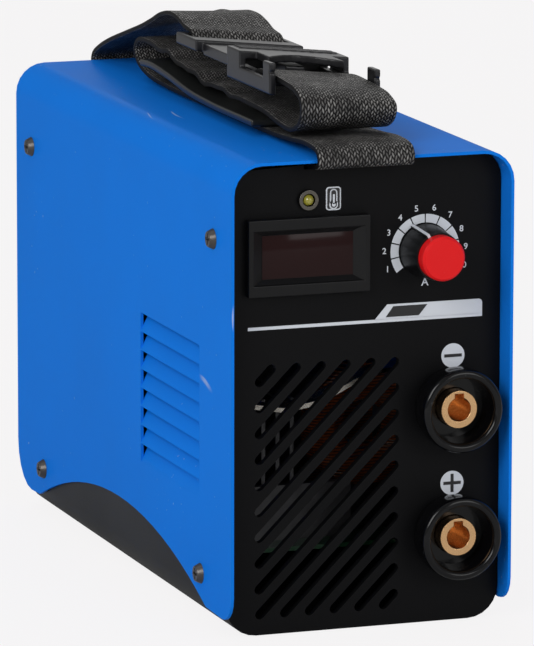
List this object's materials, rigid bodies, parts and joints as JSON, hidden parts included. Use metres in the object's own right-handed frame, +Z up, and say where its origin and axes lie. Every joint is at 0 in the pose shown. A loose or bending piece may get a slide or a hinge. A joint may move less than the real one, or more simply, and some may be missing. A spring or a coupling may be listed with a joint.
{
  "type": "stick welding inverter",
  "caption": "Compact inverter for stick welding: folded cover on a tray chassis, recessed panels, current knob, weld sockets, fan and webbing carry strap.",
  "frame": {"origin": "middle of the flat underside of the chassis, where it stands on the floor", "axes": "+X to the right as seen from the front, +Y from the front panel to the rear panel, +Z up"},
  "size_m": [0.1166, 0.2805, 0.2142],
  "materials": {
    "blue_paint": "satin gloss powder coat",
    "black_paint": "matt powder coat",
    "black_plastic": "fine matt texture",
    "gloss_black": "gloss",
    "grey_plastic": "satin",
    "red_plastic": "satin",
    "webbing": "coarse woven webbing",
    "brass": "turned",
    "screw_steel": "dark zinc",
    "chrome_plate": "bright plate",
    "bare_aluminium": "extruded",
    "tinned_copper": "tinned",
    "copper_wire": "enamelled copper",
    "green_board": "solder mask",
    "smoked_window": "polished, dark red",
    "amber_lens": "clear tint",
    "ferrite": "sintered"
  },
  "bodies": {
    "case": {"cover": "blue_paint", "chassis": "black_paint", "front_panel": "black_plastic", "rear_panel": "black_plastic", "cover_screw_1": "screw_steel", "cover_screw_2": "screw_steel", "cover_screw_3": "screw_steel", "cover_screw_4": "screw_steel", "cover_screw_5": "screw_steel", "cover_screw_6": "screw_steel", "cover_screw_7": "screw_steel", "cover_screw_8": "screw_steel", "meter_bezel": "black_plastic", "meter_window": "smoked_window", "meter_board": "green_board", "led_bezel": "chrome_plate", "led_lens": "amber_lens", "potentiometer_body": "screw_steel", "potentiometer_nut": "chrome_plate", "socket_collar_negative": "gloss_black", "socket_insert_negative": "brass", "socket_nut_negative": "black_plastic", "socket_collar_positive": "gloss_black", "socket_insert_positive": "brass", "socket_nut_positive": "black_plastic", "fan_frame": "black_plastic", "fan_guard": "chrome_plate", "fan_screw_1": "screw_steel", "fan_screw_2": "screw_steel", "fan_screw_3": "screw_steel", "fan_screw_4": "screw_steel", "power_switch_frame": "gloss_black", "cable_gland": "gloss_black", "gland_nut": "gloss_black", "earth_screw": "brass", "earth_nut": "brass", "main_board": "green_board", "heatsink": "bare_aluminium", "control_board": "green_board", "transformer_core": "ferrite", "transformer_winding": "copper_wire", "inductor_base": "black_plastic", "output_inductor": "copper_wire", "capacitor_1": "gloss_black", "capacitor_2": "gloss_black", "bridge_rectifier": "gloss_black", "busbar_negative": "tinned_copper", "busbar_positive": "tinned_copper", "strap_rear": "webbing", "strap_front": "webbing", "strap_pad": "grey_plastic", "strap_anchor_front": "screw_steel", "strap_anchor_rear": "screw_steel", "buckle_female": "grey_plastic", "buckle_male": "grey_plastic"},
    "knob": {"knob_body": "black_plastic", "knob_cap": "red_plastic", "potentiometer_shaft": "chrome_plate"},
    "rocker": {"power_switch_rocker": "red_plastic"},
    "rotor": {"fan_rotor": "black_plastic"}
  },
  "joints": [
    {"name": "current_knob", "type": "hinge", "parent": "case", "child": "knob", "pos_m": [0.0242, -0.123, 0.1428], "axis": [0, 1, 0], "range_deg": [-98, 154]},
    {"name": "power_rocker", "type": "hinge", "parent": "case", "child": "rocker", "pos_m": [-0.026, 0.119, 0.155], "axis": [1, 0, 0], "range_deg": [0, 14]},
    {"name": "fan_spin", "type": "hinge", "parent": "case", "child": "rotor", "pos_m": [-0.006, 0.108, 0.09], "axis": [0, 1, 0], "continuous": true}
  ]
}
